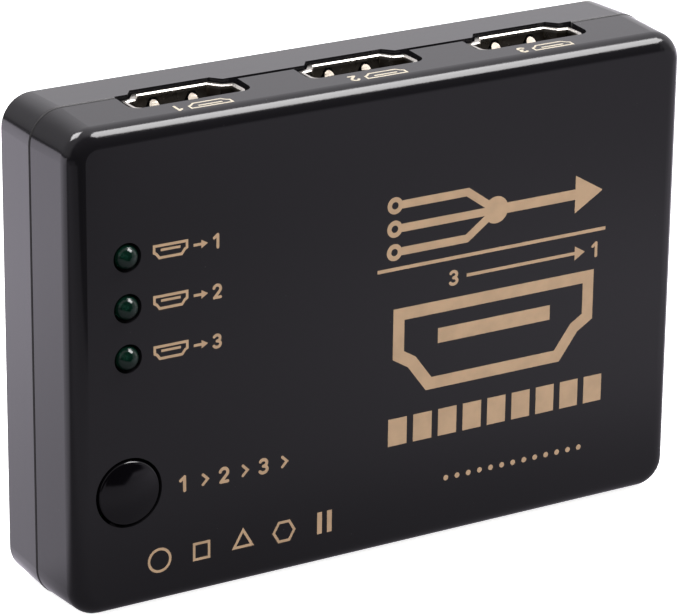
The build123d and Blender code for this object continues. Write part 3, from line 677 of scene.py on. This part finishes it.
class MakeLights(bpy.types.Operator):
    """The three status lights: smooth resin lenses with a reflector cup and post inside"""

    bl_idname = "switch_box.make_lights"
    bl_label = "Lights"

    def execute(self, context):
        sizes, colours = context.scene.switch_box_sizes, context.scene.switch_box_colours
        lens_finish = resin("green_resin", colours.lens)
        cup_finish = grained("cup_silver", colours.tin, roughness=0.22, metallic=1.0, grain=0.0002,
                             depth=1e-6)
        for i, name in enumerate(LIGHTS, 1):
            centre, radius, front, back = round_node(name)
            profile = np.concatenate([half_ball(radius, front), [(radius, back), (0, back)]])
            shape = turned(profile, centre, sizes.steps)
            lens = make_piece(f"lens_{i}", [(shape, False)], lens_finish, "case")
            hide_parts(name)
            cup = reflector(sizes.cup_radius, front + 1.5 * radius, back)
            shape = turned(cup, centre, sizes.steps // 2)
            make_piece(f"light_cup_{i}", [(shape, False)], cup_finish, "case")
        return {"FINISHED"}


class DressSockets(bpy.types.Operator):
    """Finishes of the video sockets, the two jacks, the switch and the tinned leads"""

    bl_idname = "switch_box.dress_sockets"
    bl_label = "Sockets"

    def execute(self, context):
        sizes, colours = context.scene.switch_box_sizes, context.scene.switch_box_colours
        low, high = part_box("front_shell")
        middle = (low.z + high.z) / 2
        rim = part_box(f"{SOCKETS[0]}_shell")[1].z - middle
        # Painted shade in the socket mouths: the plate darkens from 0.25 mm to 0.65 mm under the rim.
        bright, dull = mm(0.25, 0.65)
        nickel = plated("nickel_plate", colours.nickel, middle, rim - bright, rim - dull)
        steel = grained("bright_steel", colours.nickel, roughness=0.24, metallic=1.0, grain=0.00025,
                        mottle=0.06, scuff=0.08)
        moulded = grained("matt_black", colours.insulator, roughness=0.55, grain=0.00018, depth=4e-6)
        gold = grained("gold_flash", colours.gold, roughness=0.22, metallic=1.0, grain=0.0002, depth=1e-6)
        tin = grained("dull_tin", colours.tin, roughness=0.36, metallic=1.0, grain=0.0002)
        shells = [f"{socket}_shell" for socket in SOCKETS]
        dress(nickel, *shells)
        dress(steel, "power_jack_pin", "tact_switch_cover", "tact_switch_dome")
        dress(moulded, *[f"{socket}_insulator" for socket in SOCKETS], "power_jack_body",
              "remote_jack_body", "tact_switch_base", "tact_switch_plunger", "bulk_capacitor_base")
        dress(gold, *[f"{socket}_contacts" for socket in SOCKETS])
        dress(tin, "power_jack_terminals", "remote_jack_contacts", "tact_switch_legs", "status_light_leads",
              "video_switch_chip_leads", "control_chip_leads", "voltage_regulator_leads")
        soften(sizes.sheet_break, *shells)
        return {"FINISHED"}


class DressBoard(bpy.types.Operator):
    """Finishes of the circuit board and the components on it"""

    bl_idname = "switch_box.dress_board"
    bl_label = "Board"

    def execute(self, context):
        colours = context.scene.switch_box_colours
        dress(board_finish("solder_resist", colours.resist, colours.trace, colours.tin), "circuit_board")
        dress(grained("chip_epoxy", colours.epoxy, roughness=0.58, grain=0.00012, depth=5e-6),
              "video_switch_chip", "control_chip", "voltage_regulator")
        dress(grained("can_aluminium", colours.can, roughness=0.30, metallic=1.0, grain=0.0003, mottle=0.05,
                      scuff=0.08, stretch=(1, 0.1, 1)), "bulk_capacitor_can")
        dress(grained("ceramic", colours.ceramic, roughness=0.45), "chip_capacitors")
        dress(grained("overglaze", colours.epoxy, roughness=0.30), "chip_resistors")
        return {"FINISHED"}


# Prints on the face: places count to the right from its middle and up from the floor

def light_label(number, light, cap, line):
    """Beside a light: a small socket sign, an arrow and the light's number, all of one height."""
    gap, sign, shaft, tip, head, digit = mm(1.85, 4.7, 5.4, 7.3, 0.85, 8.0)
    low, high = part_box(light)
    left, level = high.x + gap, (low.z + high.z) / 2
    foot = level - cap / 2
    return [*socket_sign((left, foot), (left + sign, foot + cap), line),
            *arrow((left + shaft, level), (left + tip, level), line, head),
            *numeral(number, (left + digit, foot), cap)]


def button_label(cap):
    """Beside the button: 1, 2 and 3, a little larger than by the lights, an open arrow head after each."""
    first, pitch, point, drop, line = mm(-28.9, 5.5, 3.9, 0.4, 0.36)
    low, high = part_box("select_button")
    middle = (low.z + high.z) / 2 - drop
    size = 1.12 * cap
    signs = []
    for i in range(3):
        left = first + i * pitch
        signs += numeral(i + 1, (left, middle - size / 2), size)
        signs.append(chevron((left + point, middle), 0.62 * size, line))
    return signs


def small_signs(line):
    """A row of five small plain outlines: ring, square, triangle, hexagon and two bars."""
    first, last, level, size, bar_offset = mm(-31.6, -8.6, 6.3, 1.45, 0.7)
    ring, square, triangle, hexagon, bars = np.linspace(first, last, 5)

    def polygon(x, corners, turn):
        return loop(arc((x, level), (size, size), turn, turn + 360 * (corners - 1) / corners, corners), line)

    return [polygon(ring, 32, 0), polygon(square, 4, 45), polygon(triangle, 3, 90), polygon(hexagon, 6, 0),
            *(block((x - line, level - size), (x + line, level + size))
              for x in (bars - bar_offset, bars + bar_offset))]


def switch_diagram():
    """The large sign: three lines that start at rings, meet at a disc and go on as one arrow."""
    left, start, bend, joint, right = mm(0.9, 1.9, 11.3, 15.5, 31.2)
    middle, spread, ring, ring_line, line = mm(42.8, 3.0, 0.78, 0.62, 1.05)
    hub, arrow_line, head = mm(1.75, 1.35, 4.0)
    strokes = []
    for level in (middle - spread, middle, middle + spread):
        strokes.append(loop(arc((left, level), (ring, ring), 0, 350, 28), ring_line))
        path = [(start, level), (joint, level)]
        if level != middle:
            path = [(start, level), (bend, level), (joint, middle)]
        strokes.append(stroke(path, line / 2))
    strokes.append(disc((joint, middle), hub, 28))
    return strokes + arrow((joint, middle), (right, middle), arrow_line, head)


def divider():
    """A level line between the large sign and what is under it."""
    left, right, bottom, top = mm(-1.47, 31.95, 37.4, 37.85)
    return [block((left, bottom), (right, top))]


def ratio_sign():
    """3, an arrow and 1."""
    first, shaft, tip, last, foot, height, line, head = mm(8.9, 11.4, 28.9, 29.9, 34.0, 2.0, 0.42, 1.5)
    level = foot + height / 2
    return [*numeral(3, (first, foot), height), *numeral(1, (last, foot), height),
            *arrow((shaft, level), (tip, level), line, head)]


def large_socket():
    """A large socket sign."""
    left, right, bottom, top, line = mm(0.9, 30.4, 20.9, 32.4, 1.6)
    return socket_sign((left, bottom), (right, top), line)


def scale_blocks():
    """A row of nine filled blocks."""
    left, right, bottom, top, width = mm(0.4, 32.15, 14.4, 18.0, 2.7)
    return [block((x, bottom), (x + width, top)) for x in np.linspace(left, right - width, 9)]


def dot_row():
    """A row of thirteen dots."""
    left, right, level, radius = mm(9.0, 29.0, 8.5, 0.36)
    return [disc((x, level), radius) for x in np.linspace(left, right, 13)]


class PrintFace(bpy.types.Operator):
    """The tan prints on the face: numbers beside the lights, signs by the button and the large signs"""

    bl_idname = "switch_box.print_face"
    bl_label = "Face prints"

    def execute(self, context):
        sizes = context.scene.switch_box_sizes
        ink = ink_finish("tan_ink", context.scene.switch_box_colours.print)
        plane = Plane((0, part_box("front_shell")[0].y, 0), (1, 0, 0), (0, 0, 1))
        prints = {f"light_label_{i}": light_label(i, name, sizes.cap_height, sizes.fine_line)
                  for i, name in enumerate(LIGHTS, 1)}
        prints |= {
            "button_label": button_label(sizes.cap_height),
            "small_signs": small_signs(sizes.fine_line),
            "switch_diagram": switch_diagram(),
            "divider": divider(),
            "ratio_sign": ratio_sign(),
            "socket_sign": large_socket(),
            "scale_blocks": scale_blocks(),
            "dot_row": dot_row(),
        }
        for name, strokes in prints.items():
            print_piece(name, strokes, plane, ink)
        return {"FINISHED"}


# Prints beside the ports

class PrintPorts(bpy.types.Operator):
    """The signs and numbers beside the ports, their tops towards the face"""

    bl_idname = "switch_box.print_ports"
    bl_label = "Port prints"

    def execute(self, context):
        sizes = context.scene.switch_box_sizes
        ink = ink_finish("port_ink", context.scene.switch_box_colours.port_print)
        low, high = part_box("front_shell")
        lean = math.atan2(sizes.lean, sizes.front_depth)
        plane = Plane((0, low.y, high.z - sizes.lean), (-1, 0, 0), (0, -math.cos(lean), -math.sin(lean)))
        left, right, digit = mm(-3.9, 1.8, 2.7)
        top = -sizes.port_setback
        foot = top - sizes.port_number
        for i, name in enumerate(INPUTS, 1):
            start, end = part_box(f"{name}_shell")
            middle = -(start.x + end.x) / 2
            signs = socket_sign((middle + left, foot), (middle + right, top), sizes.port_line)
            signs += numeral(i, (middle + digit, foot), sizes.port_number)
            print_piece(f"port_label_{i}", signs, plane, ink)
        return {"FINISHED"}


# Studio

class BuildStudio(bpy.types.Operator):
    """Floor, white surroundings, softboxes and camera"""

    bl_idname = "switch_box.build_studio"
    bl_label = "Studio"

    def execute(self, context):
        studio, scene = context.scene.switch_box_studio, context.scene
        make_floor(studio)
        scene.world = surroundings(studio)
        softbox("softbox_key", place=(0.290, -0.178, 0.524), size=(0.28, 0.36), radiance=studio.key,
                colour=(1.0, 0.985, 0.99))
        softbox("softbox_fill", place=(-0.42, -0.55, 0.42), size=(0.40, 0.40), radiance=studio.fill,
                colour=(1.0, 0.99, 0.98), mirrored=False)
        softbox("softbox_corner", place=(-0.195, 0.255, 0.515), size=(0.26, 0.26), radiance=studio.key,
                colour=(1.0, 0.985, 0.99), diffuse=0.0)
        scene.camera = make_camera(studio)
        scene.view_settings.view_transform = "Standard"
        return {"FINISHED"}


def softbox(name, place, size, radiance, colour, mirrored=True, diffuse=1.0):
    """A rectangular lamp that looks at the box; its power is radiance times pi times its area. The gloss
    shows it unless mirrored is off, and diffuse is the share of its light that matt surfaces get."""
    aim = Vector((0, 0, 0.03))
    lamp = bpy.data.lights.new(name, "AREA")
    lamp.shape = "RECTANGLE"
    lamp.size, lamp.size_y = size
    lamp.energy = radiance * math.pi * size[0] * size[1]
    lamp.color = colour
    lamp.diffuse_factor = diffuse
    holder = bpy.data.objects.new(name, lamp)
    holder.location = place
    holder.rotation_euler = (aim - Vector(place)).to_track_quat("-Z", "Y").to_euler()
    holder.visible_camera = False
    holder.visible_glossy = mirrored
    bpy.context.scene.collection.objects.link(holder)


def make_floor(studio, half=2.0):
    """A square of floor at height 0, with its finish."""
    mesh = bpy.data.meshes.new("floor")
    corners = [(-half, -half, 0), (half, -half, 0), (half, half, 0), (-half, half, 0)]
    mesh.from_pydata(corners, [], [(0, 1, 2, 3)])
    mesh.materials.append(floor_finish(studio))
    floor = bpy.data.objects.new("floor", mesh)
    bpy.context.scene.collection.objects.link(floor)


def floor_finish(studio):
    """A pale floor. Seen directly it is white with the box's soft shadow. In the box's gloss it is bright
    behind the box and dim in front, and a painted shadow of the box dims it close to the box on both sides.
    In front it is brighter to the right, dimmer again further out, and dark far away unless on the right,
    and in a wedge on the left of the camera."""
    f = Finish(bpy.data.materials.new("pale_floor"))
    x, y, _ = f.axes(f.position())
    reach = (x * x + y * y) ** 0.5
    rightward = x.rise(-0.03, 0.11)
    # Painted shadow: clear is 0 close to the box in front, where it dims the floor's glow in the box's gloss
    # by up to 38 percent.
    clear = y.rise(-0.012, -0.045)
    further = y.rise(-0.06, -0.14)
    right_sector = (x / reach).rise(0.60, 0.68)
    near = reach.rise(0.80, 0.18)
    wedge = (x + 0.6 * y).rise(-0.058, -0.070) * (y - 0.7 * x).rise(-0.078, -0.088)
    front = studio.floor_near + studio.floor_right * rightward
    front = front * (0.62 + 0.38 * clear) * (1 - 0.33 * further)
    front = front * (right_sector + (1 - right_sector) * near) * (1 - 0.97 * wedge)
    # Painted shadow behind the box too: the glow falls to 68 percent close to it.
    behind = studio.floor_far * (0.68 + 0.32 * y.rise(0.0, 0.12))
    glow = front + (behind - front) * y.rise(-0.008, 0.012)
    mirrored = f.node("Emission", Color=(1.0, 0.945, 1.07), Strength=glow)
    tone = f.blend(f.noise(0.004), (0.78, 0.78, 0.78), (0.82, 0.82, 0.82))
    seen = f.node("AddShader", _0=f.node("Emission", Color=(1, 1, 1), Strength=studio.floor_glow),
                  _1=f.node("BsdfDiffuse", Color=tone))
    camera_ray = f.node("LightPath", output="Is Camera Ray")
    return f.surface(f.node("MixShader", _0=camera_ray, _1=mirrored, _2=seen))


def surroundings(studio):
    """White to the eye. To the box's gloss and shading it is pale behind and above the box, paler to the
    right, dimmer on the left down to a dark skirting, and dark behind the camera but for a dim card on the
    right."""
    f = Finish(bpy.data.worlds.new("studio"))
    x, y, z = f.axes(f.node("TexCoord", output="Generated"))
    behind = y.rise(-0.45, -0.05)
    left = x.rise(0.15, -0.25)
    foot = left * z.rise(0.30, 0.0)
    skirting = x.rise(-0.2, -0.4) * z.rise(0.10, 0.05)
    pale = studio.room * (0.80 + 0.22 * x.rise(-0.5, 0.6))
    pale = pale * (1 - 0.42 * left) * (1 - 0.30 * foot) * (1 - 0.65 * skirting)
    front = studio.dark + studio.card * x.rise(0.60, 0.68)
    glow = front + (pale - front) * behind
    lit = f.node("Background", Color=(1.0, 0.975, 1.02), Strength=glow)
    white = f.node("Background", Color=(1, 1, 1), Strength=1.0)
    camera_ray = f.node("LightPath", output="Is Camera Ray")
    return f.surface(f.node("MixShader", _0=camera_ray, _1=lit, _2=white))


def make_camera(studio):
    """The photograph's camera, set from its turn, height, roll and distance about its target."""
    turn, height, roll = (math.radians(v) for v in (studio.azimuth, studio.elevation, studio.roll))
    back = Vector((-math.sin(turn) * math.cos(height), -math.cos(turn) * math.cos(height), math.sin(height)))
    right = Vector((0, 0, 1)).cross(back).normalized()
    up = back.cross(right)
    across = math.cos(roll) * right + math.sin(roll) * up
    above = -math.sin(roll) * right + math.cos(roll) * up
    place = Vector(studio.target) + back * studio.distance
    data = bpy.data.cameras.new("camera")
    data.lens, data.sensor_width = studio.lens, 36.0
    data.clip_start, data.clip_end = 0.01, 20.0
    camera = bpy.data.objects.new("camera", data)
    camera.matrix_world = Matrix((across, above, back)).transposed().to_4x4()
    camera.location = place
    bpy.context.scene.collection.objects.link(camera)
    return camera


# Panel and registration

class SwitchBoxPanel(bpy.types.Panel):
    """Sizes, colours and studio, with one button per group of pieces"""

    bl_idname = "VIEW3D_PT_switch_box"
    bl_label = "Switch box"
    bl_space_type = "VIEW_3D"
    bl_region_type = "UI"
    bl_category = "Switch box"

    def draw(self, context):
        for settings in GROUPS:
            column = self.layout.box().column()
            group = getattr(context.scene, settings)
            for name in group.__annotations__:
                column.prop(group, name)
        for operator in OPERATORS:
            self.layout.operator(operator.bl_idname)


GROUPS = {
    "switch_box_sizes": SwitchBoxSizes,
    "switch_box_colours": SwitchBoxColours,
    "switch_box_studio": SwitchBoxStudio,
}
OPERATORS = (DressCase, MakeButton, MakeLights, DressSockets, DressBoard, PrintFace, PrintPorts, BuildStudio)


def register():
    """Registers the settings, the operators and the panel."""
    for cls in (*GROUPS.values(), *OPERATORS, SwitchBoxPanel):
        bpy.utils.register_class(cls)
    for name, group in GROUPS.items():
        setattr(bpy.types.Scene, name, PointerProperty(type=group))


def unregister():
    """Takes them away again."""
    for name in GROUPS:
        delattr(bpy.types.Scene, name)
    for cls in reversed((*GROUPS.values(), *OPERATORS, SwitchBoxPanel)):
        bpy.utils.unregister_class(cls)


def main():
    """Runs every operator in order."""
    register()
    for operator in OPERATORS:
        group, name = operator.bl_idname.split(".")
        getattr(getattr(bpy.ops, group), name)()


if __name__ == "__main__":
    main()
